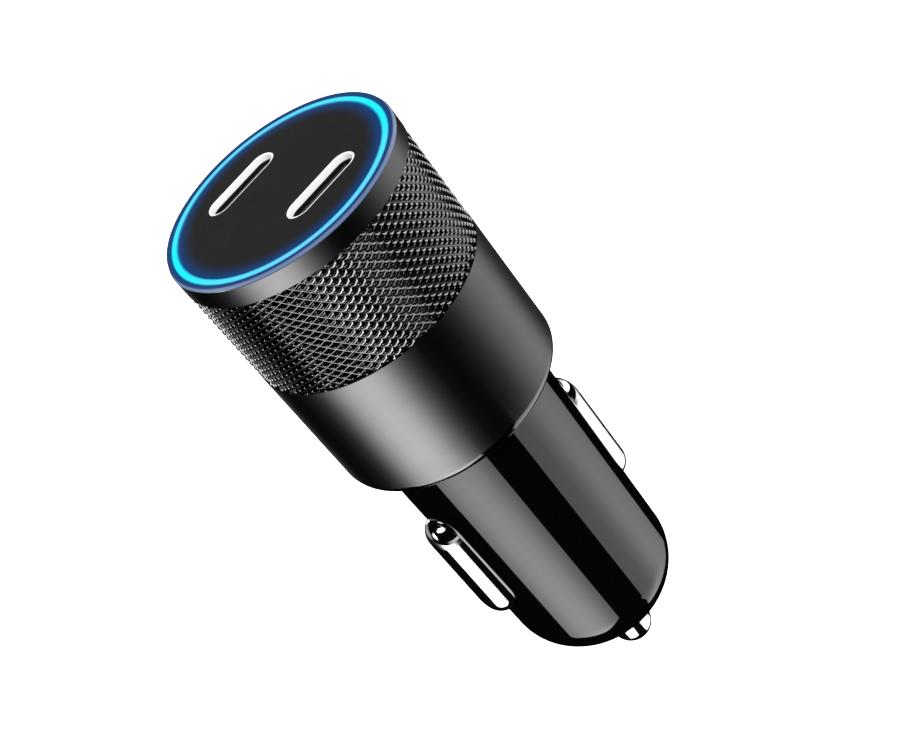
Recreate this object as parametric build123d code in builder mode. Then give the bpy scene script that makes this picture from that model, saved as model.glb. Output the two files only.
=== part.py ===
from build123d import *
import os
from math import cos, pi, sin, sqrt

os.makedirs("parts", exist_ok=True)

# A twin-port car charger plug. Z runs along the plug's axis towards the lit face, and Z = 0 is the
# underside of the barrel, which stops against the mouth of the car's socket. X runs along the length
# of the two ports and through the two side contacts, and Y runs from the front port to the back port.

# Clearances
drop_in_gap = 0.05      # a piece dropped into its seat, on the radius
slide_gap = 0.1         # a contact sliding in its hole
contact_slot_gap = 0.2  # round a side contact in its slot
solder_gap = 0.1        # under a lead that is soldered on

# Barrel: one turned and knurled aluminium sleeve
barrel_radius = 13.35
barrel_height = 31.8
barrel_wall = 1.35
barrel_floor = 1.8
barrel_floor_ledge = 1.3
barrel_edge_round = 1.2
rim_wall = 0.6
rim_chamfer_width = 0.16
rim_chamfer_height = 0.36
bezel_height = 2.5
knurl_length = 12.8
knurl_relief = 0.12
knurl_depth = 0.42
knurl_pitch = 2.1
knurl_row_pitch = 1.37
relief_extra_depth = 0.1

# Light ring and face plate
ring_width = 0.9
ring_collar_wall = 1.35
ring_bottom_z = 25.6
face_drop = 0.06
face_thickness = 1.2
face_edge_round = 0.12
face_skirt_wall = 0.8
face_skirt_depth = 1.5

# Plug body: plug and barrel liner moulded in one
plug_radius = 10.43
plug_land_length = 7.0
nose_radius = 10.12
nose_start = 31.2
nose_height = 8.25
nose_wall = 1.7
plug_cavity_radius = 8.7
liner_wall = 1.2
liner_step_z = 3.6
liner_top_z = 23.2
boss_wall = 1.3
rail_thickness = 1.0
rail_reach = 1.2
rail_root = 0.5

# Side contacts: two formed spring strips
contact_length = 16.2
contact_width = 5.6
contact_z = -17.6
contact_face = 12.05
contact_round = 1.6
contact_sheet = 0.6
contact_tab = 2.2
strip_width = 5.2

# Centre contact and its spring
tip_radius = 2.5
tip_reach = 45.5
tip_dome = 2.2
tip_seat_z = -37.0
tip_flange_radius = 3.6
tip_flange_thickness = 1.0
tip_spigot_radius = 1.6
tip_spigot_length = 1.8
chamber_radius = 3.9
chamber_top_z = -27.0
spring_wire_radius = 0.27
spring_radius = 2.75
spring_turns = 4
terminal_thickness = 1.0
terminal_radius = 3.6
terminal_boss_radius = 1.2
terminal_boss_length = 1.5
terminal_lug_width = 3.0
terminal_lug_height = 3.4
terminal_lug_sheet = 0.4

# Boards
board_thickness = 1.2
board_top_z = 22.4
board_edge_gap = 0.3
port_board_gap = 0.3

# Ports
port_inset = 3.6
port_stagger = 1.19
port_pair_x = 0.5
port_pair_y = 0.4
port_length = 9.0
port_width = 3.1
port_sheet = 0.28
port_recess = 0.1
window_gap = 0.1
tongue_base_height = 2.0
tongue_length = 6.7
tongue_thickness = 0.7
tongue_recess = 0.8
pin_pitch = 0.5
pin_width = 0.25
pin_sheet = 0.06
pin_length = 3.2
pin_count = 12

# Parts on the boards: width along Y, length along Z, height off the board
led_size = (2.0, 1.2, 0.8)
led_inset = 0.7
led_count = 8
inductor_size = (6.6, 6.6, 3.2)
inductor_round = 0.8
inductor_inset = 5.85
upper_row_z = 12.5
input_can_radius = 3.15
output_can_radius = 2.5
can_height = 5.8
can_inset = 6.05
can_base_height = 1.0
can_base_margin = 0.15
can_groove = 0.25
output_can_spread = 6.8
converter_size = (5.0, 5.0, 0.9)
converter_z = 4.8
controller_size = (4.0, 4.0, 0.8)
controller_y = 4.0
transistor_size = (3.3, 3.3, 0.9)
transistor_z = -8.0
fuse_size = (2.6, 6.1, 2.6)
fuse_y = 3.2
diode_size = (2.6, 4.3, 2.3)
lower_row_rise = 9.0
ceramic_size = (1.6, 3.2, 1.6)
ceramic_y = -3.5
ceramic_pitch = 4.2
ceramic_count = 3
link_pin_side = 0.64
link_pin_pitch = 2.54
link_pin_overlap = 3.2
link_pin_count = 3
lead_radius = 0.5
lead_bend = 2.4
lead_z = -2.0

# Levels and radii that follow from the sizes above
barrel_bore_radius = barrel_radius - barrel_wall
ring_seat_radius = barrel_radius - rim_wall
ring_outer_radius = ring_seat_radius - drop_in_gap
ring_inner_radius = ring_outer_radius - ring_width
face_top_z = barrel_height - face_drop
ring_seat_z = face_top_z - face_thickness
knurl_top_z = barrel_height - bezel_height
knurl_bottom_z = knurl_top_z - knurl_length
relief_radius = barrel_radius - knurl_depth - relief_extra_depth
collar_hole_radius = barrel_bore_radius - barrel_floor_ledge
collar_radius = collar_hole_radius - drop_in_gap
liner_radius = barrel_bore_radius - drop_in_gap
liner_bore = liner_radius - liner_wall
ring_collar_bore = liner_radius - ring_collar_wall
face_skirt_radius = ring_collar_bore - slide_gap
face_skirt_bore = face_skirt_radius - face_skirt_wall
nose_end = nose_start + nose_height
tip_bore_radius = tip_radius + slide_gap
boss_radius = chamber_radius + boss_wall
board_face = board_thickness / 2
port_board_top = liner_top_z + board_thickness
port_board_radius = barrel_bore_radius - port_board_gap
led_circle_radius = port_board_radius - led_inset
port_pitch = 2 * (face_skirt_bore - port_inset)
port_top_z = face_top_z - port_recess
tongue_top_z = face_top_z - tongue_recess
inductor_y = liner_bore - inductor_inset
can_y = liner_bore - can_inset
lower_row_z = chamber_top_z + lower_row_rise
terminal_bottom_z = chamber_top_z - terminal_thickness
flange_top_z = tip_seat_z + tip_flange_thickness
tip_dome_radius = (tip_radius**2 + tip_dome**2) / (2 * tip_dome)

# The strip of a side contact lies just inside the wall, where the wall meets the strip's long edges
strip_outer = sqrt(plug_cavity_radius**2 - (strip_width / 2) ** 2) - drop_in_gap
strip_inner = strip_outer - contact_sheet
contact_top_z = contact_z + contact_length / 2 + contact_tab

port_places = {
    "back": (port_pair_x - port_stagger, port_pair_y + port_pitch / 2),
    "front": (port_pair_x + port_stagger, port_pair_y - port_pitch / 2),
}


def save(builder, name):
    builder.part.label = name
    export_step(builder.part, f"parts/{name}.step")


# Diamond knurl: peaks and groove crossings alternate on a grid round the sleeve, and each grid cell
# folds along the groove that runs between its two crossings.
def knurl_band():
    columns = 2 * round(2 * pi * barrel_radius / knurl_pitch)
    band_length = knurl_length - 2 * knurl_relief
    rows = 2 * round(band_length / knurl_row_pitch)
    band_bottom = knurl_bottom_z + knurl_relief

    def corner(column, row):
        is_peak = (column + row) % 2 == 0
        radius = barrel_radius if is_peak else barrel_radius - knurl_depth
        angle = 2 * pi * column / columns
        return Vector(radius * cos(angle), radius * sin(angle), band_bottom + band_length * row / rows)

    grid = [[corner(column, row) for column in range(columns)] for row in range(rows + 1)]
    faces = []
    for row in range(rows):
        for column in range(columns):
            following = (column + 1) % columns
            low, low_next = grid[row][column], grid[row][following]
            high, high_next = grid[row + 1][column], grid[row + 1][following]
            if (column + row) % 2 == 0:
                halves = ((low, low_next, high), (low_next, high_next, high))
            else:
                halves = ((low, low_next, high_next), (low, high_next, high))
            faces += [Face(Wire.make_polygon(half)) for half in halves]
    bore_edges = []
    for ends in (grid[0], grid[-1]):
        level = Plane.XY.offset(ends[0].Z)
        bore = Wire.make_circle(barrel_bore_radius, level)
        bore_edges.append(bore)
        faces.append(Face(Wire.make_polygon(ends), [bore]))
    faces.append(Face.extrude(bore_edges[0].edges()[0], Vector(0, 0, band_length)))
    return Solid(Shell(faces))


with BuildPart() as barrel_shell:
    with BuildSketch(Plane.XZ) as barrel_section:
        with BuildLine():
            Polyline(
                (collar_hole_radius, 0),
                (barrel_radius, 0),
                (barrel_radius, knurl_bottom_z),
                (relief_radius, knurl_bottom_z),
                (relief_radius, knurl_top_z),
                (barrel_radius, knurl_top_z),
                (barrel_radius, barrel_height - rim_chamfer_height),
                (barrel_radius - rim_chamfer_width, barrel_height),
                (ring_seat_radius, barrel_height),
                (ring_seat_radius, ring_seat_z),
                (barrel_bore_radius, ring_seat_z),
                (barrel_bore_radius, barrel_floor),
                (collar_hole_radius, barrel_floor),
                close=True,
            )
        make_face()
        lower_corner = barrel_section.vertices().group_by(Axis.Y)[0].sort_by(Axis.X)[-1]
        fillet(lower_corner, barrel_edge_round)
    revolve(axis=Axis.Z)
    add(knurl_band(), clean=False)
save(barrel_shell, "barrel_shell")


with BuildPart() as light_ring:
    with BuildSketch(Plane.XZ):
        with BuildLine():
            Polyline(
                (ring_collar_bore, ring_bottom_z),
                (liner_radius, ring_bottom_z),
                (liner_radius, ring_seat_z),
                (ring_outer_radius, ring_seat_z),
                (ring_outer_radius, face_top_z),
                (ring_inner_radius, face_top_z),
                (ring_inner_radius, ring_seat_z),
                (ring_collar_bore, ring_seat_z),
                close=True,
            )
        make_face()
    revolve(axis=Axis.Z)
save(light_ring, "light_ring")


with BuildPart() as face_plate:
    with BuildSketch(Plane.XY.offset(ring_seat_z)):
        Circle(ring_inner_radius - drop_in_gap)
    extrude(amount=face_thickness)
    fillet(face_plate.edges().group_by(Axis.Z)[-1], face_edge_round)
    with BuildSketch(Plane.XY.offset(ring_seat_z)):
        Circle(face_skirt_radius)
        Circle(face_skirt_bore, mode=Mode.SUBTRACT)
    extrude(amount=-face_skirt_depth)
    with BuildSketch(Plane.XY.offset(ring_seat_z)):
        with Locations(*port_places.values()):
            SlotOverall(port_length + 2 * window_gap, port_width + 2 * window_gap)
    extrude(amount=face_thickness, mode=Mode.SUBTRACT)
save(face_plate, "face_plate")


with BuildPart() as plug_body:
    with BuildSketch(Plane.XZ):
        with BuildLine():
            Polyline(
                (0, liner_top_z),
                (liner_radius, liner_top_z),
                (liner_radius, barrel_floor),
                (collar_radius, barrel_floor),
                (collar_radius, 0),
                (plug_radius, 0),
                (plug_radius, -plug_land_length),
                (nose_radius, -nose_start),
            )
            EllipticalCenterArc((0, -nose_start), nose_radius, nose_height, 0, arc_size=-90)
            Line((0, -nose_end), (0, liner_top_z))
        make_face()
    revolve(axis=Axis.Z)
    # The hollow inside, left standing round the spring's tube
    with BuildSketch(Plane.XZ):
        with BuildLine():
            Polyline(
                (0, liner_top_z),
                (liner_bore, liner_top_z),
                (liner_bore, liner_step_z),
                (plug_cavity_radius, liner_step_z),
                (plug_cavity_radius, -nose_start),
            )
            EllipticalCenterArc(
                (0, -nose_start), plug_cavity_radius, nose_height - nose_wall, 0, arc_size=-90
            )
            Line((0, nose_wall - nose_end), (0, liner_top_z))
        make_face()
        with Locations((0, chamber_top_z)):
            Rectangle(
                boss_radius, nose_end + chamber_top_z, align=(Align.MIN, Align.MAX), mode=Mode.SUBTRACT
            )
    revolve(axis=Axis.Z, mode=Mode.SUBTRACT)
    # The spring's tube and the hole for the centre contact
    with BuildSketch(Plane.XY.offset(chamber_top_z)):
        Circle(chamber_radius)
    extrude(amount=tip_seat_z - chamber_top_z, mode=Mode.SUBTRACT)
    with BuildSketch(Plane.XY.offset(tip_seat_z)):
        Circle(tip_bore_radius)
    extrude(amount=-nose_end, mode=Mode.SUBTRACT)
    # One slot in each side for the side contacts
    with BuildSketch(Plane.YZ):
        with Locations((0, contact_z)):
            SlotOverall(
                contact_length + 2 * contact_slot_gap, contact_width + 2 * contact_slot_gap, rotation=90
            )
    extrude(amount=plug_radius, both=True, mode=Mode.SUBTRACT)
    # Two pairs of rails that hold the main board's edges
    with BuildSketch(Plane.XY.offset(chamber_top_z)):
        rail_centre_x = board_face + slide_gap + rail_thickness / 2
        rail_centre_y = plug_cavity_radius + (rail_root - rail_reach) / 2
        with GridLocations(2 * rail_centre_x, 2 * rail_centre_y, 2, 2):
            Rectangle(rail_thickness, rail_reach + rail_root)
    extrude(amount=liner_step_z - chamber_top_z)
save(plug_body, "plug_body")


# A side contact's raised face: a long pill with rounded shoulders, standing out along X
def contact_form(sign, inset):
    with BuildPart() as form:
        with BuildSketch(Plane.YZ.offset(sign * strip_inner)):
            with Locations((0, contact_z)):
                SlotOverall(contact_length - 2 * inset, contact_width - 2 * inset, rotation=90)
        extrude(amount=sign * (contact_face - inset - strip_inner))
        outward = Axis((0, 0, 0), (sign, 0, 0))
        fillet(form.faces().sort_by(outward)[-1].edges(), contact_round - inset)
    return form.part


for side, sign in (("left", -1), ("right", 1)):
    raised_face = contact_form(sign, 0)
    hollow = contact_form(sign, contact_sheet)
    with BuildPart() as side_contact:
        with BuildSketch(Plane.YZ.offset(sign * strip_inner)):
            with Locations((0, contact_z)):
                Rectangle(strip_width, contact_length + 2 * contact_tab)
        extrude(amount=sign * contact_sheet)
        add(raised_face)
        add(hollow, mode=Mode.SUBTRACT)
    save(side_contact, f"side_contact_{side}")


with BuildPart() as centre_contact:
    with BuildSketch(Plane.XZ):
        with BuildLine():
            Polyline(
                (0, flange_top_z + tip_spigot_length),
                (tip_spigot_radius, flange_top_z + tip_spigot_length),
                (tip_spigot_radius, flange_top_z),
                (tip_flange_radius, flange_top_z),
                (tip_flange_radius, tip_seat_z),
                (tip_radius, tip_seat_z),
                (tip_radius, tip_dome - tip_reach),
            )
            RadiusArc((tip_radius, tip_dome - tip_reach), (0, -tip_reach), tip_dome_radius)
            Line((0, -tip_reach), (0, flange_top_z + tip_spigot_length))
        make_face()
    revolve(axis=Axis.Z)
save(centre_contact, "centre_contact")


with BuildPart() as tip_spring:
    spring_bottom = flange_top_z + spring_wire_radius + drop_in_gap
    spring_top = terminal_bottom_z - spring_wire_radius - drop_in_gap
    spring_height = spring_top - spring_bottom
    with BuildLine() as spring_coil:
        Helix(spring_height / spring_turns, spring_height, spring_radius, center=(0, 0, spring_bottom))
    with BuildSketch(Plane(origin=spring_coil.line @ 0, z_dir=spring_coil.line % 0)):
        Circle(spring_wire_radius)
    sweep(path=spring_coil.line, is_frenet=True)
save(tip_spring, "tip_spring")


with BuildPart() as tip_terminal:
    with BuildSketch(Plane.XY.offset(terminal_bottom_z)):
        Circle(terminal_radius)
    extrude(amount=terminal_thickness)
    with BuildSketch(Plane.XY.offset(terminal_bottom_z)):
        Circle(terminal_boss_radius)
    extrude(amount=-terminal_boss_length)
    with BuildSketch(Plane.XY.offset(chamber_top_z)):
        with GridLocations(board_thickness + terminal_lug_sheet, 0, 2, 1):
            Rectangle(terminal_lug_sheet, terminal_lug_width)
    extrude(amount=terminal_lug_height)
save(tip_terminal, "tip_terminal")


with BuildPart() as main_board:
    with BuildSketch(Plane.YZ):
        lower_width = 2 * (plug_cavity_radius - board_edge_gap)
        upper_width = 2 * (liner_bore - board_edge_gap)
        upper_bottom = liner_step_z + board_edge_gap
        with Locations((0, chamber_top_z)):
            Rectangle(lower_width, board_top_z - chamber_top_z, align=(Align.CENTER, Align.MIN))
        with Locations((0, upper_bottom)):
            Rectangle(upper_width, board_top_z - upper_bottom, align=(Align.CENTER, Align.MIN))
    extrude(amount=board_face, both=True)
save(main_board, "main_board")


with BuildPart() as port_board:
    with BuildSketch(Plane.XY.offset(liner_top_z)):
        Circle(port_board_radius)
    extrude(amount=board_thickness)
save(port_board, "port_board")


for end, place in port_places.items():
    port_floor = Plane.XY.offset(port_board_top)
    tongue_floor = Plane.XY.offset(port_board_top + tongue_base_height)
    with BuildPart() as port_shell:
        with BuildSketch(port_floor):
            with Locations(place):
                SlotOverall(port_length, port_width)
                SlotOverall(port_length - 2 * port_sheet, port_width - 2 * port_sheet, mode=Mode.SUBTRACT)
        extrude(amount=port_top_z - port_board_top)
    save(port_shell, f"port_shell_{end}")

    with BuildPart() as port_tongue:
        base_inset = 2 * (port_sheet + drop_in_gap)
        with BuildSketch(port_floor):
            with Locations(place):
                SlotOverall(port_length - base_inset, port_width - base_inset)
        extrude(amount=tongue_base_height)
        with BuildSketch(tongue_floor):
            with Locations(place):
                Rectangle(tongue_length, tongue_thickness)
        extrude(amount=tongue_top_z - port_board_top - tongue_base_height)
    save(port_tongue, f"port_tongue_{end}")

    with BuildPart() as port_pins:
        with BuildSketch(tongue_floor):
            with Locations(place):
                with GridLocations(pin_pitch, tongue_thickness + pin_sheet, pin_count, 2):
                    Rectangle(pin_width, pin_sheet)
        extrude(amount=pin_length)
    save(port_pins, f"port_pins_{end}")


with BuildPart() as ring_leds:
    with BuildSketch(Plane.XY.offset(port_board_top)):
        with PolarLocations(led_circle_radius, led_count, start_angle=180 / led_count):
            Rectangle(led_size[1], led_size[0])
    extrude(amount=led_size[2])
save(ring_leds, "ring_leds")


# A moulded part soldered flat on the main board: sign gives the board's face, and place its Y and Z
def board_blocks(sign, size, places):
    with BuildPart() as blocks:
        with BuildSketch(Plane.YZ.offset(sign * board_face)):
            with Locations(*places):
                Rectangle(size[0], size[1])
        extrude(amount=sign * size[2])
    return blocks


for name, sign in (("inductor_a", 1), ("inductor_b", -1)):
    inductor = board_blocks(sign, inductor_size, [(-sign * inductor_y, upper_row_z)])
    with inductor:
        fillet(inductor.edges().filter_by(Axis.X), inductor_round)
    save(inductor, name)


# A capacitor can on its square base, with the crimp groove just above the base
def capacitor(sign, radius, y, z):
    with BuildPart() as can:
        base_side = 2 * (radius + can_base_margin)
        with BuildSketch(Plane.YZ.offset(sign * board_face)):
            with Locations((y, z)):
                Rectangle(base_side, base_side)
        extrude(amount=sign * can_base_height)
        with BuildSketch(Plane.YZ.offset(sign * (board_face + can_base_height))):
            with Locations((y, z)):
                Circle(radius - can_groove)
        extrude(amount=sign * can_groove)
        with BuildSketch(Plane.YZ.offset(sign * (board_face + can_base_height + can_groove))):
            with Locations((y, z)):
                Circle(radius)
        extrude(amount=sign * (can_height - can_base_height - can_groove))
    return can


save(capacitor(1, input_can_radius, can_y, upper_row_z), "input_capacitor")
save(capacitor(-1, output_can_radius, -can_y, upper_row_z - output_can_spread / 2), "output_capacitor_a")
save(capacitor(-1, output_can_radius, -can_y, upper_row_z + output_can_spread / 2), "output_capacitor_b")

save(board_blocks(1, converter_size, [(0, converter_z)]), "converter_chip")
save(board_blocks(-1, controller_size, [(-controller_y, 0), (controller_y, 0)]), "port_controllers")
save(board_blocks(1, fuse_size, [(fuse_y, lower_row_z)]), "input_fuse")
save(board_blocks(-1, diode_size, [(0, lower_row_z)]), "surge_diode")

ceramic_places = [
    (ceramic_y, lower_row_z + ceramic_pitch * (step - (ceramic_count - 1) / 2))
    for step in range(ceramic_count)
]
save(board_blocks(1, ceramic_size, ceramic_places), "ceramic_capacitors")


with BuildPart() as switch_transistors:
    transistor_places = [(-controller_y, transistor_z), (controller_y, transistor_z)]
    for sign in (1, -1):
        with BuildSketch(Plane.YZ.offset(sign * board_face)):
            with Locations(*transistor_places):
                Rectangle(transistor_size[0], transistor_size[1])
        extrude(amount=sign * transistor_size[2])
save(switch_transistors, "switch_transistors")


with BuildPart() as link_pins:
    with BuildSketch(Plane.XY.offset(board_top_z - link_pin_overlap)):
        with GridLocations(board_thickness + link_pin_side, link_pin_pitch, 2, link_pin_count):
            Rectangle(link_pin_side, link_pin_side)
    extrude(amount=liner_top_z - board_top_z + link_pin_overlap)
save(link_pins, "link_pins")


for side, sign in (("left", -1), ("right", 1)):
    lead_end_x = sign * (strip_outer + strip_inner) / 2
    with BuildPart() as ground_lead:
        with BuildLine() as lead_route:
            FilletPolyline(
                (sign * board_face, 0, lead_z),
                (lead_end_x, 0, lead_z),
                (lead_end_x, 0, contact_top_z + solder_gap),
                radius=lead_bend,
            )
        with BuildSketch(Plane.YZ.offset(sign * board_face)):
            with Locations((0, lead_z)):
                Circle(lead_radius)
        sweep(path=lead_route.line)
    save(ground_lead, f"ground_lead_{side}")
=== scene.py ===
import bmesh
import bpy
import numpy as np
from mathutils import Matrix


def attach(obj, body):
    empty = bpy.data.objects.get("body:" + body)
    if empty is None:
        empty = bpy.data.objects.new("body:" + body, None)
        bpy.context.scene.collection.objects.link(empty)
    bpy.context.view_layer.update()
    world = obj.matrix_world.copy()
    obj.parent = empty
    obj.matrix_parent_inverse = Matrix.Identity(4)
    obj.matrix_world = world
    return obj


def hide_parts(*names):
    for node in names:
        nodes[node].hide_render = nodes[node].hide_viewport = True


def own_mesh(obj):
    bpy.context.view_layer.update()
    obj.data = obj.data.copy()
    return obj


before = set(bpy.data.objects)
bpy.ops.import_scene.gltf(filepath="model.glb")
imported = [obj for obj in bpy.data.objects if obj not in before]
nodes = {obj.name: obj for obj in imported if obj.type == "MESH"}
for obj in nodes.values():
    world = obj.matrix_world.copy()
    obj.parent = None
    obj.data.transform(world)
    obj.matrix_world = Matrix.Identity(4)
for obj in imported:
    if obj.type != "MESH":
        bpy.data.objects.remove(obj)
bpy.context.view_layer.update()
stageNow = bpy.context.scene
stageNow.view_settings.view_transform = "Standard"
mm = 0.001
print("frame in,", len(nodes), "nodes")


# Surfaces

def gridFaces(across, along, wrapAcross=True, wrapAlong=False):
    # a quad between each point of the grid and its next neighbours; where it wraps, the last joins the first
    u, v = np.meshgrid(
        np.arange(across if wrapAcross else across - 1),
        np.arange(along if wrapAlong else along - 1),
        indexing="ij",
    )
    uNext, vNext = (u + 1) % across, (v + 1) % along
    corners = [u * along + v, uNext * along + v, uNext * along + vNext, u * along + vNext]
    return np.stack(corners, -1).reshape(-1, 4)


def arcPoints(centre, radii, degrees, count):
    # an elliptic arc: centre plus the radii times the cosine and sine of the angle
    angle = np.radians(np.linspace(degrees[0], degrees[1], count))
    return np.stack([centre[0] + radii[0] * np.cos(angle), centre[1] + radii[1] * np.sin(angle)], -1)


def turned(profile, sides, closed=False):
    # each point of the profile, a radius and a height, is carried round the Z axis
    profile = np.asarray(profile, float)
    angle = np.linspace(0, 2 * np.pi, sides, endpoint=False)[:, None]
    radius, height = profile[None, :, 0], np.repeat(profile[None, :, 1], sides, 0)
    points = np.stack([radius * np.cos(angle), radius * np.sin(angle), height], -1)
    return points.reshape(-1, 3), gridFaces(sides, len(profile), True, closed)


def pillLoft(length, width, profile, capCount, closed=False):
    # a straight-sided oval pulled in by the profile's inset and raised to its height: each end is a half
    # circle of half the width less the inset, about a centre that stays put
    profile = np.asarray(profile, float)
    turn = np.concatenate([np.linspace(0, np.pi, capCount), np.linspace(np.pi, 2 * np.pi, capCount)])
    shift = np.repeat([1, -1], capCount) * (length - width) / 2
    half = np.maximum(width / 2 - profile[None, :, 0], 0)
    side = half * np.cos(turn)[:, None]
    along = shift[:, None] + half * np.sin(turn)[:, None]
    height = np.broadcast_to(profile[None, :, 1], side.shape)
    points = np.stack([side, along, height], -1)
    return points.reshape(-1, 3), gridFaces(len(turn), len(profile), True, closed)


def joined(*parts):
    # several sets of corners and faces as one set
    points, faces, start = [], [], 0
    for corners, quads in parts:
        points.append(corners)
        faces.append(np.asarray(quads) + start)
        start += len(corners)
    return np.concatenate(points), np.concatenate(faces)


weld = {"near": 2e-7, "sliver": 1e-8}  # metres: corners this near become one, and edges this short go


def makePiece(name, surface, body, material, stands, creaseDegrees=32, between=()):
    # millimetres in, metres out; doubled corners at seams and poles are merged, faces are turned outwards,
    # and what lies below or above the two heights is cut away
    points, faces = surface
    mesh = bpy.data.meshes.new(name)
    mesh.from_pydata((points * mm).tolist(), [], faces.tolist())
    work = bmesh.new()
    work.from_mesh(mesh)
    bmesh.ops.remove_doubles(work, verts=work.verts, dist=weld["near"])
    bmesh.ops.dissolve_degenerate(work, edges=work.edges, dist=weld["sliver"])
    for height, away in zip(between, (-1, 1)):
        bmesh.ops.bisect_plane(work, geom=[*work.verts, *work.edges, *work.faces], dist=weld["sliver"],
                               plane_co=(0, 0, height * mm), plane_no=(0, 0, away), clear_outer=True)
    bmesh.ops.recalc_face_normals(work, faces=work.faces)
    work.to_mesh(mesh)
    work.free()
    mesh.shade_smooth()
    mesh.set_sharp_from_angle(angle=np.radians(creaseDegrees))
    mesh.materials.append(material)
    piece = bpy.data.objects.new(name, mesh)
    stageNow.collection.objects.link(piece)
    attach(piece, body)
    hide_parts(*stands)
    print("piece", name, len(mesh.polygons), "faces")


# Finishes

noiseRange = (0.3, 0.7)  # most of a noise's values lie between these


class Finish:
    # one node material: its shader, and the few nodes that the finishes share

    def __init__(self, name, **sockets):
        self.material = bpy.data.materials.new(name)
        self.material.use_nodes = True
        self.tree = self.material.node_tree
        self.shader = self.tree.nodes["Principled BSDF"]
        for socket, value in sockets.items():
            self.shader.inputs[socket.replace("_", " ")].default_value = value
        self.place = self.add("ShaderNodeTexCoord").outputs["Object"]

    def add(self, kind, **settings):
        node = self.tree.nodes.new(kind)
        for key, value in settings.items():
            setattr(node, key, value)
        return node

    def link(self, source, target):
        self.tree.links.new(source, target)

    def feed(self, source, socket):
        self.link(source, self.shader.inputs[socket])

    def noise(self, scale, detail=3.0, stretch=None):
        node = self.add("ShaderNodeTexNoise")
        node.inputs["Scale"].default_value = scale
        node.inputs["Detail"].default_value = detail
        node.inputs["Roughness"].default_value = 0.55
        place = self.place
        if stretch:
            mapping = self.add("ShaderNodeMapping")
            mapping.inputs["Scale"].default_value = stretch
            self.link(place, mapping.inputs["Vector"])
            place = mapping.outputs["Vector"]
        self.link(place, node.inputs["Vector"])
        return node.outputs["Fac"]

    def spread(self, value, low, high, bounds=noiseRange):
        node = self.add("ShaderNodeMapRange")
        node.inputs["From Min"].default_value = bounds[0]
        node.inputs["From Max"].default_value = bounds[1]
        node.inputs["To Min"].default_value = low
        node.inputs["To Max"].default_value = high
        self.link(value, node.inputs["Value"])
        return node.outputs["Result"]

    def ramp(self, value, stops):
        node = self.add("ShaderNodeValToRGB")
        while len(node.color_ramp.elements) < len(stops):
            node.color_ramp.elements.new(1.0)
        for element, (place, colour) in zip(node.color_ramp.elements, stops):
            element.position = place
            element.color = (*colour, 1.0)
        self.link(value, node.inputs["Fac"])
        return node.outputs["Color"]

    def mix(self, share, first, second):
        # from the first colour to the second; a colour is written out or comes from a node
        node = self.add("ShaderNodeMix", data_type="RGBA")
        self.link(share, node.inputs["Factor"])
        for socket, colour in (("A", first), ("B", second)):
            if isinstance(colour, tuple):
                node.inputs[socket].default_value = (*colour, 1.0)
            else:
                self.link(colour, node.inputs[socket])
        return node.outputs["Result"]

    def math(self, operation, first, second=None):
        node = self.add("ShaderNodeMath", operation=operation)
        for socket, value in zip(node.inputs, (first, second)):
            if value is None:
                continue
            if isinstance(value, (int, float)):
                socket.default_value = value
            else:
                self.link(value, socket)
        return node.outputs["Value"]

    def radius(self):
        # distance from the plug's axis
        flat = self.add("ShaderNodeVectorMath", operation="MULTIPLY")
        flat.inputs[1].default_value = (1, 1, 0)
        self.link(self.place, flat.inputs[0])
        length = self.add("ShaderNodeVectorMath", operation="LENGTH")
        self.link(flat.outputs["Vector"], length.inputs[0])
        return length.outputs["Value"]

    def height(self):
        split = self.add("ShaderNodeSeparateXYZ")
        self.link(self.place, split.inputs["Vector"])
        return split.outputs["Z"]

    def rampUp(self, value, bounds, top=1.0):
        # nought up to the first of two sizes in millimetres, and the top value from the second on
        return self.spread(value, 0.0, top, (bounds[0] * mm, bounds[1] * mm))

    def shades(self, look):
        # a colour that drifts between the look's two shades
        stops = list(zip(noiseRange, (look["dark"], look["light"])))
        return self.ramp(self.noise(look["drift"]), stops)

    def bump(self, value, strength, depth):
        node = self.add("ShaderNodeBump")
        node.inputs["Strength"].default_value = strength
        node.inputs["Distance"].default_value = depth
        self.link(value, node.inputs["Height"])
        self.feed(node.outputs["Normal"], "Normal")

    def surface(self, look):
        # a roughness that drifts between two values, and a fine grain
        self.feed(self.spread(self.noise(look["roughScale"]), *look["rough"]), "Roughness")
        grain = self.noise(look["grainScale"], look.get("grainDetail", 2.0))
        self.bump(grain, look["grain"], look["depth"])


def anodisedFinish(name, look):
    # black oxide on bright metal: blasted grain, faint turning rings, and a frosted rim with a painted glow,
    # blue at its inner edge and lavender outside, that stands in for the lit ring's light
    made = Finish(name, Metallic=1.0)
    made.feed(made.shades(look), "Base Color")
    gloss = made.spread(made.noise(look["roughScale"]), *look["rough"])
    frost = made.rampUp(made.height(), look["rimHeights"], look["frost"])
    made.feed(made.math("ADD", gloss, frost), "Roughness")
    blast = made.noise(look["grainScale"], detail=2.0)
    rings = made.noise(look["ringScale"], detail=1.0, stretch=look["ringStretch"])
    made.bump(made.math("ADD", blast, rings), look["grain"], look["depth"])
    # painted glow: the rim's top band emits, blue near the ring and lavender further out
    made.feed(made.rampUp(made.height(), look["rimHeights"]), "Emission Strength")
    edge = made.rampUp(made.radius(), look["rimRadii"])
    made.feed(made.ramp(edge, [(0.0, look["paintedGlow"]), (1.0, look["rim"])]), "Emission Color")
    return made.material


# the sleeve's two rim emission colours, blue then lavender, are painted glow for the lit ring's light
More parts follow.
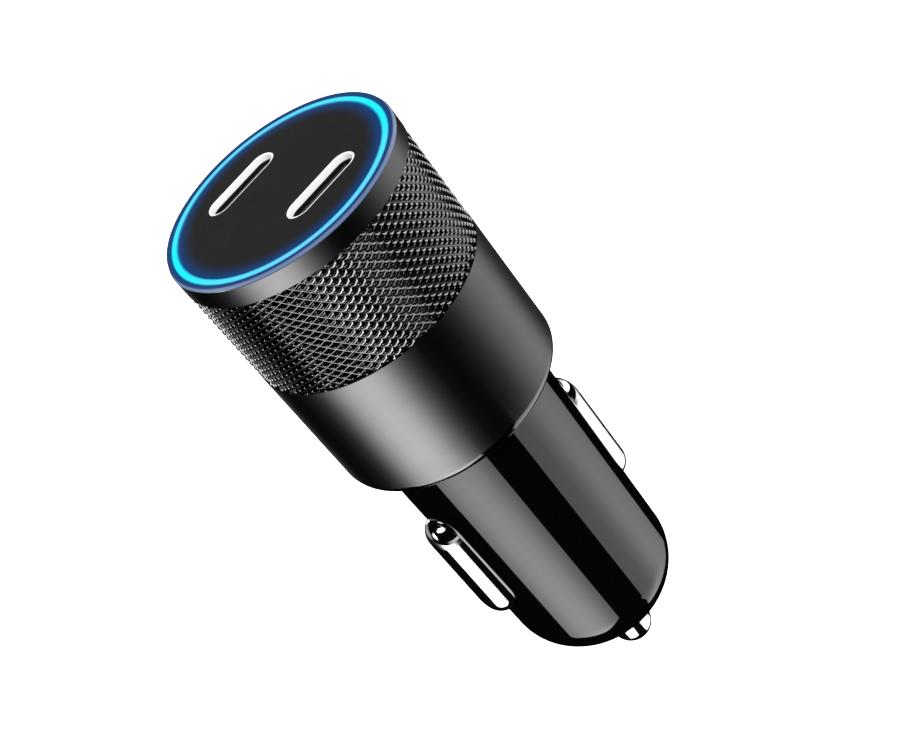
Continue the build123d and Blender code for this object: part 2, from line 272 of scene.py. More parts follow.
sleeveLook = {"dark": (0.106, 0.106, 0.108), "light": (0.12, 0.12, 0.122), "drift": 160,
              "rough": (0.07, 0.09), "roughScale": 420, "frost": 0.5,
              "grain": 0.06, "grainScale": 7000, "ringScale": 5200, "ringStretch": (0.02, 0.02, 1.0),
              "depth": 0.000012, "paintedGlow": (0.004, 0.045, 0.17), "rim": (0.15, 0.225, 0.42),
              "rimRadii": (13.12, 13.26), "rimHeights": (31.42, 31.56)}
# the knurl is the sleeve's own black oxide, given a lighter colour as painted sheen so that its facets catch
# brighter highlights
knurlLook = dict(sleeveLook, dark=(0.2, 0.2, 0.202), light=(0.222, 0.222, 0.224), rough=(0.09, 0.12),
                 grain=0.04)
anodised = anodisedFinish("blackAnodised", sleeveLook)
knurlSheenFinish = anodisedFinish("knurlPaintedSheen", knurlLook)

nickelLook = {"colour": (0.86, 0.86, 0.87, 1), "rough": (0.045, 0.085), "roughScale": 700,
              "grain": 0.05, "grainScale": 2600, "depth": 0.000006}
nickel = Finish("brightNickel", Metallic=1.0, Base_Color=nickelLook["colour"])
nickel.surface(nickelLook)

glossLook = {"dark": (0.0006, 0.0006, 0.0007), "light": (0.0011, 0.0011, 0.0012), "drift": 90,
             "rough": (0.02, 0.04), "roughScale": 500,
             "grain": 0.03, "grainScale": 900, "grainDetail": 1.0, "depth": 0.000004}
glossBlack = Finish("glossBlack", IOR=1.5)
glossBlack.feed(glossBlack.shades(glossLook), "Base Color")
glossBlack.surface(glossLook)

# painted glow of the ring's light: towards the ring the face's colour goes near black and a blue emission
# rises
faceLook = {"dark": (0.0118, 0.0111, 0.0115), "light": (0.0136, 0.0128, 0.0133), "drift": 300,
            "rough": (0.42, 0.48), "roughScale": 900, "grain": 0.12, "grainScale": 9000, "depth": 0.00001,
            "paintedGlow": (0.0, 0.05, 0.19, 1), "paintedGlowRadii": (9.9, 11.75), "paintedGlowPower": 1.8,
            "edge": (0.001, 0.002, 0.006)}
faceSatin = Finish("faceSatin", IOR=1.45, Emission_Color=faceLook["paintedGlow"])
paintedGlowRise = faceSatin.rampUp(faceSatin.radius(), faceLook["paintedGlowRadii"])
paintedGlowShare = faceSatin.math("POWER", paintedGlowRise, faceLook["paintedGlowPower"])
faceSatin.feed(faceSatin.mix(paintedGlowShare, faceSatin.shades(faceLook), faceLook["edge"]), "Base Color")
faceSatin.feed(paintedGlowShare, "Emission Strength")
faceSatin.surface(faceLook)

# the ring is brightest along its middle, and its hue drifts round it with the turn of its lamps
ringLook = {"base": (0.01, 0.05, 0.08, 1), "rough": 0.25, "radii": (11.8, 12.7), "edge": (0.0, 0.06, 0.24),
            "hues": [(0.2, (0.0, 0.88, 0.96)), (0.95, (0.13, 0.67, 0.95))], "ledTurn": 18.0,
            "band": [(0.0, 0.0), (0.12, 0.2), (0.3, 1.0), (0.78, 1.0), (0.94, 0.12), (1.0, 0.0)]}
ringGlow = Finish("ringGlow", Base_Color=ringLook["base"], Roughness=ringLook["rough"], Emission_Strength=1.0)
turnedPlace = ringGlow.add("ShaderNodeMapping")
turnedPlace.inputs["Rotation"].default_value = (0, 0, np.radians(ringLook["ledTurn"]))
ringGlow.link(ringGlow.place, turnedPlace.inputs["Vector"])
ringSplit = ringGlow.add("ShaderNodeSeparateXYZ")
ringGlow.link(turnedPlace.outputs["Vector"], ringSplit.inputs["Vector"])
aside = ringGlow.math("ABSOLUTE", ringSplit.outputs["Y"])
hue = ringGlow.ramp(ringGlow.math("DIVIDE", aside, ringLook["radii"][1] * mm), ringLook["hues"])
across = ringGlow.rampUp(ringGlow.radius(), ringLook["radii"])
band = ringGlow.ramp(across, [(place, (level,) * 3) for place, level in ringLook["band"]])
ringGlow.feed(ringGlow.mix(band, ringLook["edge"], hue), "Emission Color")

# below the lip the port's wall is painted near black, a painted shade for the depth of the slot; the lip
# keeps a bright colour
portLook = {"lip": (0.95, 0.95, 0.95), "inside": (0.008, 0.008, 0.008), "lipHeights": (30.91, 30.99),
            "rough": (0.28, 0.36), "roughScale": 1500, "grain": 0.1, "grainScale": 6000, "depth": 0.000008}
portNickel = Finish("portNickel")
lipOverPaintedShade = portNickel.rampUp(portNickel.height(), portLook["lipHeights"])
portNickel.feed(portNickel.ramp(lipOverPaintedShade, [(0.0, portLook["inside"]), (1.0, portLook["lip"])]), "Base Color")
portNickel.surface(portLook)

# plain finishes: two shades and how fast they drift, the roughness, the grain, and the nodes that wear them
plainLooks = {
    "springWire": {"dark": (0.42, 0.42, 0.43), "light": (0.5, 0.5, 0.5), "drift": 800, "rough": (0.22, 0.34),
                   "grainScale": 5000, "depth": 0.00001, "metal": 1.0, "on": ["tip_spring"]},
    "terminalBrass": {"dark": (0.62, 0.45, 0.2), "light": (0.74, 0.56, 0.27), "drift": 500,
                      "rough": (0.25, 0.4), "grainScale": 4000, "depth": 0.00001, "metal": 1.0,
                      "on": ["tip_terminal"]},
    "boardMask": {"dark": (0.012, 0.11, 0.045), "light": (0.02, 0.16, 0.07), "drift": 600,
                  "rough": (0.3, 0.45), "grainScale": 3000, "depth": 0.00002, "metal": 0.0,
                  "on": ["main_board", "port_board"]},
    "portTongue": {"dark": (0.008, 0.008, 0.008), "light": (0.014, 0.014, 0.014), "drift": 900,
                   "rough": (0.4, 0.55), "grainScale": 7000, "depth": 0.00001, "metal": 0.0,
                   "on": ["port_tongue_back", "port_tongue_front"]},
    "goldPlate": {"dark": (0.86, 0.6, 0.2), "light": (0.92, 0.7, 0.29), "drift": 1200, "rough": (0.15, 0.25),
                  "grainScale": 6000, "depth": 0.000006, "metal": 1.0,
                  "on": ["port_pins_back", "port_pins_front", "link_pins"]},
    "lampBody": {"dark": (0.82, 0.82, 0.7), "light": (0.92, 0.92, 0.84), "drift": 900, "rough": (0.2, 0.35),
                 "grainScale": 5000, "depth": 0.00001, "metal": 0.0, "on": ["ring_leds"]},
    "pressedCore": {"dark": (0.08, 0.08, 0.08), "light": (0.14, 0.14, 0.14), "drift": 1500,
                    "rough": (0.55, 0.75), "grainScale": 3500, "depth": 0.00004, "metal": 0.0,
                    "on": ["inductor_a", "inductor_b"]},
    "drawnCan": {"dark": (0.68, 0.68, 0.69), "light": (0.78, 0.78, 0.79), "drift": 500, "rough": (0.25, 0.4),
                 "grainScale": 4000, "depth": 0.00001, "metal": 1.0,
                 "on": ["input_capacitor", "output_capacitor_a", "output_capacitor_b"]},
    "chipMould": {"dark": (0.014, 0.014, 0.014), "light": (0.024, 0.024, 0.024), "drift": 900,
                  "rough": (0.5, 0.65), "grainScale": 5000, "depth": 0.00002, "metal": 0.0,
                  "on": ["converter_chip", "port_controllers", "switch_transistors", "surge_diode"]},
    "fuseBody": {"dark": (0.72, 0.72, 0.69), "light": (0.82, 0.82, 0.79), "drift": 700, "rough": (0.4, 0.5),
                 "grainScale": 4000, "depth": 0.00001, "metal": 0.0, "on": ["input_fuse"]},
    "firedCeramic": {"dark": (0.46, 0.34, 0.22), "light": (0.58, 0.45, 0.3), "drift": 1100,
                     "rough": (0.4, 0.55), "grainScale": 5000, "depth": 0.00001, "metal": 0.0,
                     "on": ["ceramic_capacitors"]},
    "leadSleeve": {"dark": (0.014, 0.014, 0.014), "light": (0.026, 0.026, 0.026), "drift": 700,
                   "rough": (0.5, 0.62), "grainScale": 4000, "depth": 0.00001, "metal": 0.0,
                   "on": ["ground_lead_left", "ground_lead_right"]},
}
plainGrain, plainPace = 0.35, 2.3  # the grain's strength, and how many times faster the roughness drifts
worn = [(faceSatin.material, "face_plate")]
for finishName, look in plainLooks.items():
    plain = Finish(finishName, Metallic=look["metal"])
    plain.feed(plain.shades(look), "Base Color")
    plain.surface(dict(look, roughScale=look["drift"] * plainPace, grain=plainGrain))
    worn += [(plain.material, nodeName) for nodeName in look["on"]]
for material, nodeName in worn:
    nodes[nodeName].data.materials.clear()
    nodes[nodeName].data.materials.append(material)
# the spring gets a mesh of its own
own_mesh(nodes["tip_spring"])
print("finishes on", len(worn), "carried nodes")


# Barrel: turned sleeve and its knurl

barrel = {"radius": 13.35, "height": 31.8, "chamfer": (0.16, 0.36), "bezel": 2.5, "knurlLength": 12.8,
          "relief": 0.1, "reliefRadius": 13.0, "foot": 1.2, "footCount": 15, "wallEnd": 0.1,
          "collarHole": 10.7, "bore": 12.0, "floor": 1.8, "seatRadius": 12.75, "seat": 30.54, "sides": 256}
# two crossing sets of helical grooves: how many start round the sleeve, where the first starts, and how far
# each climbs in a degree; spare cells past each end, which are cut away; and a tooth from its groove up: its
# share of the cell, its height, and how square its corners are
knurl = {"steepStarts": 65, "steepFrom": 0.8455, "steepClimb": -0.2210,
         "flatStarts": 39, "flatFrom": 1.0108, "flatClimb": 0.08413, "spare": 3, "depth": 0.32,
         "tooth": [(1.0, 0.0, 1.0), (0.955, 0.0, 1.0), (0.6, 0.48, 0.98), (0.34, 0.79, 0.94),
                   (0.14, 0.94, 0.9), (0.0, 1.0, 1.0)]}

knurlTop = barrel["height"] - barrel["bezel"]
knurlBottom = knurlTop - barrel["knurlLength"]
footCentre = (barrel["radius"] - barrel["foot"], barrel["foot"])
# rows close to the wall's two ends keep its shading straight
sleeveProfile = np.concatenate([
    [(barrel["collarHole"], barrel["floor"]), (barrel["collarHole"], 0)],
    arcPoints(footCentre, (barrel["foot"], barrel["foot"]), (-90, 0), barrel["footCount"]),
    [(barrel["radius"], barrel["foot"] + barrel["wallEnd"]),
     (barrel["radius"], knurlBottom - barrel["wallEnd"]), (barrel["radius"], knurlBottom),
     (barrel["reliefRadius"], knurlBottom), (barrel["reliefRadius"], knurlTop), (barrel["radius"], knurlTop),
     (barrel["radius"], barrel["height"] - barrel["chamfer"][1]),
     (barrel["radius"] - barrel["chamfer"][0], barrel["height"]), (barrel["seatRadius"], barrel["height"]),
     (barrel["seatRadius"], barrel["seat"]), (barrel["bore"], barrel["seat"]),
     (barrel["bore"], barrel["floor"])],
])
makePiece("barrel_turned", turned(sleeveProfile, barrel["sides"], closed=True), "charger",
          anodised, stands=["barrel_shell"], creaseDegrees=20)


def knurlBand():
    # a cell lies between two neighbouring grooves of each set: where a groove starts plus its number times
    # its spacing gives its angle at height zero, and two grooves cross where their angles agree; each cell
    # is a tooth of eight-cornered rings, every ring a share of the way out from the cell's middle, with its
    # four corners drawn in as it rises
    towardsSteep, towardsFlat = [0, 1, 1, 1, 0, -1, -1, -1], [1, 1, 0, -1, -1, -1, 0, 1]
    corners, rings = len(towardsSteep), len(knurl["tooth"])
    steepGap, flatGap = 360 / knurl["steepStarts"], 360 / knurl["flatStarts"]
    lean = 1 / knurl["steepClimb"] - 1 / knurl["flatClimb"]
    apart = knurl["flatFrom"] - knurl["steepFrom"]
    rise = flatGap / lean
    first = np.floor(np.arange(knurl["steepStarts"]) * steepGap / flatGap)
    reach = np.sort([knurlBottom / rise, knurlTop / rise])
    steps = np.arange(np.floor(reach[0]) - knurl["spare"], np.ceil(reach[1]) + knurl["spare"])
    steep, step = np.meshgrid(np.arange(knurl["steepStarts"]), steps, indexing="ij")
    flat = first[:, None] + step
    share, lift, square = (np.repeat(column, corners) for column in zip(*knurl["tooth"]))
    atCorner = np.tile([False, True] * (corners // 2), rings)
    out = 0.5 * share * np.where(atCorner, square, 1.0)
    steepAt = steep[..., None] + 0.5 + out * np.tile(towardsSteep, rings)
    flatAt = flat[..., None] + 0.5 + out * np.tile(towardsFlat, rings)
    height = (flatAt * flatGap - steepAt * steepGap + apart) / lean
    turn = np.radians(knurl["steepFrom"] + steepAt * steepGap + height / knurl["steepClimb"])
    radius = barrel["radius"] + knurl["depth"] * (lift - 1)
    points = np.stack([radius * np.cos(turn), radius * np.sin(turn), height], -1).reshape(-1, 3)
    ringOf, place = np.divmod(np.arange(corners * (rings - 1)), corners)
    here, following = ringOf * corners + place, ringOf * corners + (place + 1) % corners
    cell = np.stack([here, following, following + corners, here + corners], -1)
    return points, (np.arange(steep.size)[:, None, None] * len(share) + cell[None]).reshape(-1, 4)


makePiece("barrel_knurl", knurlBand(), "charger", knurlSheenFinish, stands=["barrel_shell"],
          creaseDegrees=30, between=(knurlBottom, knurlTop - barrel["relief"]))


# Light ring

ring = {"outer": 12.7, "inner": 11.8, "top": 31.74, "seat": 30.54, "collar": 11.95, "collarBore": 10.6,
        "bottom": 25.6, "round": 0.1, "roundCount": 6, "sides": 256}
ringRound, ringEdge = (ring["round"],) * 2, ring["top"] - ring["round"]
ringProfile = np.concatenate([
    [(ring["collarBore"], ring["bottom"]), (ring["collar"], ring["bottom"]), (ring["collar"], ring["seat"]),
     (ring["outer"], ring["seat"])],
    arcPoints((ring["outer"] - ring["round"], ringEdge), ringRound, (0, 90), ring["roundCount"]),
    arcPoints((ring["inner"] + ring["round"], ringEdge), ringRound, (90, 180), ring["roundCount"]),
    [(ring["inner"], ring["seat"]), (ring["collarBore"], ring["seat"])],
])
makePiece("face_light_ring", turned(ringProfile, ring["sides"], closed=True), "charger",
          ringGlow.material, stands=["light_ring"])


# Plug moulding with its two contact slots

plug = {"land": 10.43, "landLength": 7.0, "noseRadius": 10.12, "noseStart": 31.2, "noseHeight": 8.25,
        "noseWall": 1.7, "noseCount": 48, "noseBackCount": 24, "cavity": 8.7, "collar": 10.65,
        "collarTop": 1.8, "liner": 11.95, "linerBore": 10.75, "linerTop": 23.2, "linerStep": 3.6, "boss": 5.2,
        "chamber": 3.9, "chamberTop": -27.0, "tipHole": 2.6, "tipSeat": -37.0, "sides": 192,
        "slotLength": 16.6, "slotWidth": 6.0, "slotHeight": -17.6, "patchSteps": 16, "patchLow": -28.0,
        "patchHigh": -7.2, "patchRows": 40, "patchRings": 9, "patchCrowding": 0.8}


def plugWall(height):
    # the outside wall: level along the land, then a straight taper down to the nose
    fall = np.clip((-height - plug["landLength"]) / (plug["noseStart"] - plug["landLength"]), 0, 1)
    return plug["land"] + (plug["noseRadius"] - plug["land"]) * fall


def cavityWall(height):
    # the inside wall: one radius at every height
    return np.full(np.shape(height), plug["cavity"])


def slottedWall(wallOf, rows, centreTurn):
    # from the edge of a patch of the wall in to the slot's oval: each edge point slides along the line to the
    # patch's middle until it meets the oval, and every point lies on the wall of its height
    steps, along = plug["patchSteps"], len(rows) - 1
    turnEdge = np.linspace(-1, 1, 2 * steps + 1) * steps * 2 * np.pi / plug["sides"]
    edgeTurn = np.concatenate([turnEdge[:-1], np.full(along, turnEdge[-1]), turnEdge[:0:-1],
                               np.full(along, turnEdge[0])])
    edgeHeight = np.concatenate([np.full(2 * steps, rows[0]), rows[:-1], np.full(2 * steps, rows[-1]),
                                 rows[:0:-1]])
    edgeSide = wallOf(edgeHeight) * np.sin(edgeTurn)
    edgeRise = edgeHeight - plug["slotHeight"]
    half, straight = plug["slotWidth"] / 2, (plug["slotLength"] - plug["slotWidth"]) / 2
    reach = np.hypot(edgeSide, edgeRise)
    side, rise = edgeSide / reach, edgeRise / reach
    flat = half / np.maximum(np.abs(side), 1e-9)  # kept finite where the line runs straight up
    past = straight * np.abs(rise)
    cap = past + np.sqrt(np.maximum(past**2 - straight**2 + half**2, 0))
    toOval = np.where(np.abs(flat * rise) <= straight, flat, cap)
    share = np.linspace(0, 1, plug["patchRings"])[None, :] ** plug["patchCrowding"]
    ovalHeight = plug["slotHeight"] + toOval * rise
    ovalTurn = np.arcsin(toOval * side / wallOf(ovalHeight))
    turn = edgeTurn[:, None] + (ovalTurn - edgeTurn)[:, None] * share
    height = edgeHeight[:, None] + (ovalHeight - edgeHeight)[:, None] * share
    radius = wallOf(height)
    points = np.stack([radius * np.cos(turn + centreTurn), radius * np.sin(turn + centreTurn), height], -1)
    return points.reshape(-1, 3), gridFaces(len(edgeTurn), plug["patchRings"], True, False), points[:, -1]


def plugMoulding():
    # one closed profile goes down the outside, round the nose, into the tip's hole and back up the inside;
    # where a slot lies, a patch of each wall gives way to one with an oval hole, and a band joins the ovals
    rows = np.linspace(plug["patchHigh"], plug["patchLow"], plug["patchRows"])
    tipTurn = np.degrees(np.arccos(plug["tipHole"] / plug["noseRadius"]))
    bossTurn = np.degrees(np.arccos(plug["boss"] / plug["cavity"]))
    noseCentre = (0, -plug["noseStart"])
    noseOutside = (plug["noseRadius"], plug["noseHeight"])
    noseInside = (plug["cavity"], plug["noseHeight"] - plug["noseWall"])
    rim = [(plug["linerBore"], plug["linerTop"]), (plug["liner"], plug["linerTop"]),
           (plug["liner"], plug["collarTop"]), (plug["collar"], plug["collarTop"]), (plug["collar"], 0),
           (plug["land"], 0), (plug["land"], -plug["landLength"])]
    nose = arcPoints(noseCentre, noseOutside, (0, -tipTurn), plug["noseCount"])
    well = [(plug["tipHole"], plug["tipSeat"]), (plug["chamber"], plug["tipSeat"]),
            (plug["chamber"], plug["chamberTop"]), (plug["boss"], plug["chamberTop"])]
    noseBack = arcPoints(noseCentre, noseInside, (-bossTurn, 0), plug["noseBackCount"])
    profile = np.concatenate([
        rim, np.stack([plugWall(rows), rows], -1), nose, well, noseBack,
        np.stack([cavityWall(rows), rows[::-1]], -1),
        [(plug["cavity"], plug["linerStep"]), (plug["linerBore"], plug["linerStep"])],
    ])
    points, faces = turned(profile, plug["sides"], closed=True)
    outerStart = len(rim)
    innerStart = outerStart + len(rows) + len(nose) + len(well) + len(noseBack)
    column, step = np.divmod(faces[:, 0], len(profile))
    steps = plug["patchSteps"]
    nearSlot = (column + steps) % (plug["sides"] // 2) < 2 * steps
    inPatch = (step >= outerStart) & (step < outerStart + len(rows) - 1)
    inPatch |= (step >= innerStart) & (step < innerStart + len(rows) - 1)
    parts = [(points, faces[~(nearSlot & inPatch)])]
    for centreTurn in (0.0, np.pi):
        outer, outerFaces, outerOval = slottedWall(plugWall, rows, centreTurn)
        inner, innerFaces, innerOval = slottedWall(cavityWall, rows, centreTurn)
        parts += [(outer, outerFaces), (inner, innerFaces)]
        slotBand = np.stack([outerOval, innerOval], 1).reshape(-1, 3)
        parts.append((slotBand, gridFaces(len(outerOval), 2, True, False)))
    return joined(*parts)


makePiece("plug_moulding", plugMoulding(), "charger", glossBlack.material,
          stands=["plug_body"])


# Side contacts

contact = {"length": 16.2, "width": 5.6, "height": -17.6, "face": 12.05, "round": 2.2, "sheet": 0.6,
           "shoulderCount": 17, "hollowCount": 9, "stripOuter": 8.25, "stripLength": 20.6, "stripWidth": 5.2,
           "stripEdge": 0.08, "capCount": 33}


def sideContact(sign):
    # an oval cup drawn from sheet: flat face, quarter-round shoulder, straight wall, and the same again a
    # sheet further in; behind it lies the plain strip that springs it
    bend = (contact["round"], contact["face"] - contact["round"])
    outerRound, innerRound = contact["round"], contact["round"] - contact["sheet"]
    shoulder = arcPoints(bend, (-outerRound, outerRound), (90, 0), contact["shoulderCount"])
    hollow = arcPoints(bend, (-innerRound, innerRound), (0, 90), contact["hollowCount"])
    profile = np.concatenate([
        [(contact["width"], contact["face"])], shoulder,
        [(0, contact["stripOuter"]), (contact["sheet"], contact["stripOuter"])], hollow,
        [(contact["width"], contact["face"] - contact["sheet"])],
    ])
    front, back, edge = contact["stripOuter"], contact["stripOuter"] - contact["sheet"], contact["stripEdge"]
    plate = [(contact["stripWidth"], front), (edge, front), (0, front - edge), (0, back + edge), (edge, back),
             (contact["stripWidth"], back)]
    points, faces = joined(
        pillLoft(contact["length"], contact["width"], profile, contact["capCount"]),
        pillLoft(contact["stripLength"], contact["stripWidth"], plate, contact["capCount"]),
    )
    return np.stack([sign * points[:, 2], points[:, 0], points[:, 1] + contact["height"]], -1), faces


makePiece("side_contact_cup_left", sideContact(-1), "left_contact", nickel.material,
          stands=["side_contact_left"])
makePiece("side_contact_cup_right", sideContact(1), "right_contact", nickel.material,
          stands=["side_contact_right"])


# Centre contact

tip = {"radius": 2.5, "reach": -45.5, "dome": 2.2, "domeCount": 20, "seat": -37.0, "flange": (3.6, 1.0),
       "spigot": (1.6, 1.8), "sides": 96}
domeRadius = (tip["radius"] ** 2 + tip["dome"] ** 2) / (2 * tip["dome"])
domeHalf = np.degrees(np.arcsin(tip["radius"] / domeRadius))
domeCentre = (0, tip["reach"] + domeRadius)
flangeTop = tip["seat"] + tip["flange"][1]
spigotTop = flangeTop + tip["spigot"][1]
tipProfile = np.concatenate([
    arcPoints(domeCentre, (domeRadius, domeRadius), (-90, domeHalf - 90), tip["domeCount"]),
    [(tip["radius"], tip["seat"]), (tip["flange"][0], tip["seat"]), (tip["flange"][0], flangeTop),
     (tip["spigot"][0], flangeTop), (tip["spigot"][0], spigotTop), (0, spigotTop)],
])
makePiece("tip_pin", turned(tipProfile, tip["sides"]), "tip_contact", nickel.material,
          stands=["centre_contact"])


# Port shells

port = {"length": 9.0, "width": 3.1, "sheet": 0.28, "top": 31.64, "bottom": 24.4, "lip": 0.1, "lipCount": 6,
        "capCount": 25, "back": (-0.69, 6.5), "front": (1.69, -5.7)}


def portShell(place):
    # an oval tube of sheet with a rounded lip
    sheet, lip, lipHeight = port["sheet"], port["lip"], port["top"] - port["lip"]
    profile = np.concatenate([
        [(0, port["bottom"])],
        arcPoints((lip, lipHeight), (-lip, lip), (0, 90), port["lipCount"]),
        arcPoints((sheet - lip, lipHeight), (lip, lip), (90, 0), port["lipCount"]),
        [(sheet, port["bottom"])],
    ])
    points, faces = pillLoft(port["length"], port["width"], profile, port["capCount"], closed=True)
    return np.stack([points[:, 1] + place[0], points[:, 0] + place[1], points[:, 2]], -1), faces


makePiece("port_tube_back", portShell(port["back"]), "charger", portNickel.material,
          stands=["port_shell_back"])
makePiece("port_tube_front", portShell(port["front"]), "charger", portNickel.material,
          stands=["port_shell_front"])


# Studio

# metres and degrees; the camera faces the plug from the turn named facing
studio = {"facing": -108.0, "centre": (0, 0, -0.017), "radius": 0.35, "cardGrid": (81, 33), "soften": 7,
          "floor": -0.42, "floorHalf": 8.0, "floorColour": (0.9, 0.9, 0.9, 1), "ambient": 0.7,
          "table": -0.40, "tableHalf": 2.4, "flagRadius": 0.9, "flagGrid": (49, 17),
          "clothColour": (0.002, 0.002, 0.002, 1)}
hardEdge = -34.6  # the sleeve's cards end here, and the low ones that the plug mirrors begin
# each card: its turn from the camera's side, its heights, and how bright it is at each turn
cards = {
    "low_left": {"turn": (-81, -9), "top": hardEdge, "low": -64, "rise": 14,
                 "levels": [(-81, 1.95), (-74, 2.6), (-63, 3.8), (-49, 4.7), (-38, 4.6), (-27, 3.9),
                            (-16, 2.6), (-9, 1.95)]},
    "low_right": {"turn": (33, 123), "top": hardEdge, "low": -76, "rise": 22,
                  "levels": [(33, 1.5), (51, 1.5), (74, 2.2), (87, 2.1), (100, 1.6), (123, 0.7)]},
    "sleeve_left": {"turn": (-165, 6), "top": -14, "low": hardEdge,
                    "levels": [(-165, 0.1), (-160, 0.09), (-150, 0.042), (-140, 0.014), (-130, 0.01),
                               (-120, 0.015), (-110, 0.032), (-100, 0.095), (-90, 0.35), (-80, 1.27),
                               (-70, 2.65), (-60, 3.7), (-50, 4.02), (-40, 3.72), (-30, 2.78), (-20, 1.36),
                               (-10, 0.44), (0, 0.11), (6, 0.055)]},
    "sleeve_right": {"turn": (6, 165), "top": -18, "low": hardEdge,
                     "levels": [(6, 0.055), (10, 0.032), (20, 0.02), (30, 0.03), (40, 0.066), (50, 0.17),
                                (60, 0.38), (70, 0.68), (80, 0.95), (90, 1.12), (100, 1.16), (110, 0.88),
                                (120, 0.46), (130, 0.17), (140, 0.07), (150, 0.045), (165, 0.04)]},
    "side_left": {"turn": (-104, -82), "top": 22, "low": 8.5, "tilt": -0.4,
                  "levels": [(-104, 0), (-100, 4.0), (-96, 7.0), (-90, 7.0), (-86, 4.0), (-82, 0)]},
    "left_fill": {"turn": (-152, -106), "top": 10, "low": -12,
                  "levels": [(-152, 0.15), (-145, 0.35), (-130, 0.4), (-116, 0.3), (-106, 0)]},
    "front_fill": {"turn": (-44, 60), "top": 2, "low": -12,
                   "levels": [(-44, 0), (-30, 0.4), (-10, 0.6), (26, 0.6), (46, 0.4), (60, 0)]},
    "high_left": {"turn": (-88, 0), "top": 71, "low": 50, "tilt": 0.25,
                  "levels": [(-88, 0), (-82, 0.6), (-76, 3.6), (-69, 5.0), (-56, 4.8), (-44, 3.4), (-30, 2.0),
                             (-15, 1.0), (0, 0)]},
    "high_right": {"turn": (66, 150), "top": 28, "low": 4, "tilt": -0.45,
                   "levels": [(66, 0), (72, 0.6), (80, 1.4), (90, 2.0), (100, 2.3), (116, 2.5), (124, 2.3),
                              (132, 1.6), (138, 0.8), (144, 0.4), (150, 0)]},
}


def stageMaterial(name):
    material = bpy.data.materials.new(name)
    material.use_nodes = True
    material.node_tree.nodes.clear()
    return material, material.node_tree.nodes, material.node_tree.links


def seenShare(treeNodes, links):
    # one for what the camera, a mirror or a glass sees, and nought for light that falls on matt things
    path = treeNodes.new("ShaderNodeLightPath")
    share = path.outputs["Is Camera Ray"]
    for kind in ("Is Glossy Ray", "Is Transmission Ray"):
        either = treeNodes.new("ShaderNodeMath")
        either.operation = "MAXIMUM"
        links.new(share, either.inputs[0])
        links.new(path.outputs[kind], either.inputs[1])
        share = either.outputs["Value"]
    return share


def stagePiece(name, points, faces, material):
    mesh = bpy.data.meshes.new(name)
    mesh.from_pydata(points.tolist(), [], faces.tolist())
    mesh.materials.append(material)
    piece = bpy.data.objects.new(name, mesh)
    stageNow.collection.objects.link(piece)
    return piece


def spherePoints(turn, rise):
    # a point at a distance of one for each turn from the camera's side and each height above the horizon
    side, up = np.radians(studio["facing"] + turn), np.radians(rise)
    return np.stack([np.cos(up) * np.cos(side), np.cos(up) * np.sin(side), np.sin(up)], -1)


def flatSquare(half, height):
    # a level square about the axis, half its side out each way
    corners = [(-half, -half, height), (half, -half, height), (half, half, height), (-half, half, height)]
    return np.array(corners, float), np.array([[0, 1, 2, 3]])


def bentCard(name, card):
    # part of a sphere about the plug: its lower edge rises towards both ends, or all of it is tilted, and its
    # light follows the card's levels along the turn, softened a little
    wide, tall = studio["cardGrid"]
    across, down = np.meshgrid(np.linspace(0, 1, wide), np.linspace(0, 1, tall), indexing="ij")
    start, span = card["turn"][0], card["turn"][1] - card["turn"][0]
    turn = start + span * across
    lowEdge = card["low"] + card.get("rise", 0) * (2 * across - 1) ** 2
    tilt = card.get("tilt", 0) * span * (across - 0.5)
    rise = card["top"] + (lowEdge - card["top"]) * down + tilt
    points = (np.array(studio["centre"]) + studio["radius"] * spherePoints(turn, rise)).reshape(-1, 3)
    material, treeNodes, links = stageMaterial(name)
    output = treeNodes.new("ShaderNodeOutputMaterial")
    glow = treeNodes.new("ShaderNodeEmission")
    reading = treeNodes.new("ShaderNodeAttribute")
    reading.attribute_name = "level"
    links.new(reading.outputs["Fac"], glow.inputs["Strength"])
    links.new(glow.outputs["Emission"], output.inputs["Surface"])
    piece = stagePiece(name, points, gridFaces(wide, tall, False, False), material)
    turns, values = zip(*card["levels"])
    window = np.hanning(studio["soften"] + 2)[1:-1]
    line = np.pad(np.interp(turn[:, 0], turns, values), studio["soften"] // 2, "edge")
    level = np.repeat(np.convolve(line, window / window.sum(), "valid"), tall)
    store = piece.data.attributes.new("level", "FLOAT", "POINT")
    store.data.foreach_set("value", level.astype(np.float32))
    piece.visible_camera = piece.visible_shadow = False


for cardName, card in cards.items():
    bentCard("card_" + cardName, card)

floorMaterial, floorNodes, floorLinks = stageMaterial("paleFloor")
floorOut = floorNodes.new("ShaderNodeOutputMaterial")
floorAdd = floorNodes.new("ShaderNodeAddShader")
floorDiffuse = floorNodes.new("ShaderNodeBsdfDiffuse")
floorDiffuse.inputs["Color"].default_value = studio["floorColour"]
floorGlow = floorNodes.new("ShaderNodeEmission")
floorLinks.new(seenShare(floorNodes, floorLinks), floorGlow.inputs["Strength"])
floorLinks.new(floorDiffuse.outputs["BSDF"], floorAdd.inputs[0])
floorLinks.new(floorGlow.outputs["Emission"], floorAdd.inputs[1])
floorLinks.new(floorAdd.outputs["Shader"], floorOut.inputs["Surface"])
stagePiece("floor", *flatSquare(studio["floorHalf"], studio["floor"]), floorMaterial)

blackMaterial, blackNodes, blackLinks = stageMaterial("blackCloth")
blackOut = blackNodes.new("ShaderNodeOutputMaterial")
blackDiffuse = blackNodes.new("ShaderNodeBsdfDiffuse")
blackDiffuse.inputs["Color"].default_value = studio["clothColour"]
blackLinks.new(blackDiffuse.outputs["BSDF"], blackOut.inputs["Surface"])


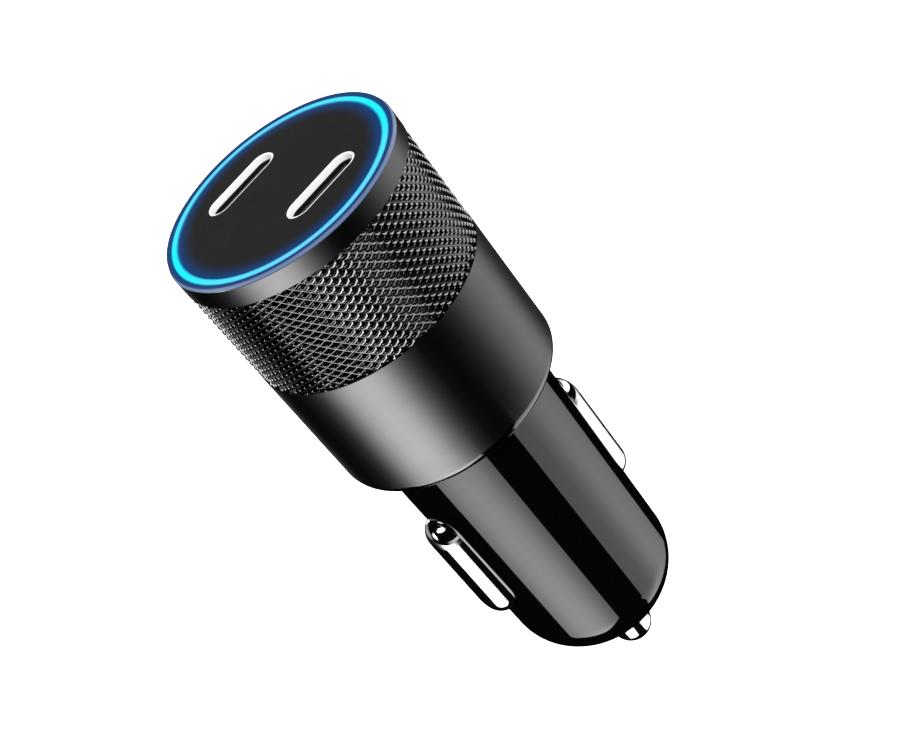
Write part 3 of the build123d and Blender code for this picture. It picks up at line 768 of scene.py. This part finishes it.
def bentFlag(turn, rise):
    # part of a sphere round the whole set, between two turns from the camera's side and two heights
    wide, tall = studio["flagGrid"]
    side, up = np.meshgrid(np.linspace(*turn, wide), np.linspace(*rise, tall), indexing="ij")
    points = studio["flagRadius"] * spherePoints(side, up)
    return points.reshape(-1, 3), gridFaces(wide, tall, False, False)


flags = {
    "black_table": flatSquare(studio["tableHalf"], studio["table"]),
    "black_top": bentFlag((-180, 180), (14, 89)),
    "black_sides": bentFlag((-154, 168), (-30, 14)),
}
for name, surface in flags.items():
    cloth = stagePiece(name, *surface, blackMaterial)
    cloth.visible_camera = cloth.visible_diffuse = cloth.visible_shadow = False  # only keeps reflections dark

# a broad soft lamp over the camera's right shoulder for the matt pieces, hidden from reflections
key = {"turn": 28.0, "rise": 40.0, "strength": 2.1, "spread": 25.0}
lamp = bpy.data.objects.new("key_lamp", bpy.data.lights.new("key_lamp", "SUN"))
lamp.data.energy = key["strength"]
lamp.data.angle = np.radians(key["spread"])
lamp.rotation_euler = np.radians((90 - key["rise"], 0, studio["facing"] + key["turn"] + 90))
lamp.visible_glossy = False
stageNow.collection.objects.link(lamp)

world = bpy.data.worlds.new("studioLight")
stageNow.world = world
world.use_nodes = True
worldNodes, worldLinks = world.node_tree.nodes, world.node_tree.links
backdrop = worldNodes["Background"]
backdrop.inputs["Color"].default_value = (1, 1, 1, 1)
strength = worldNodes.new("ShaderNodeMapRange")  # white where it is seen, and plain light elsewhere
strength.inputs["To Min"].default_value = studio["ambient"]
strength.inputs["To Max"].default_value = 1.0
worldLinks.new(seenShare(worldNodes, worldLinks), strength.inputs["Value"])
worldLinks.new(strength.outputs["Result"], backdrop.inputs["Strength"])

view = {"place": (-0.0439357, -0.1420408, 0.1052643), "turn": (48.5755, 31.0616, -42.4782), "lens": 68.3386,
        "sensor": 36, "near": 0.01}
camera = bpy.data.objects.new("camera", bpy.data.cameras.new("camera"))
camera.data.sensor_width = view["sensor"]
camera.data.lens = view["lens"]
camera.data.clip_start = view["near"]
camera.location = view["place"]
camera.rotation_euler = np.radians(view["turn"])
stageNow.collection.objects.link(camera)
stageNow.camera = camera
print("studio set")
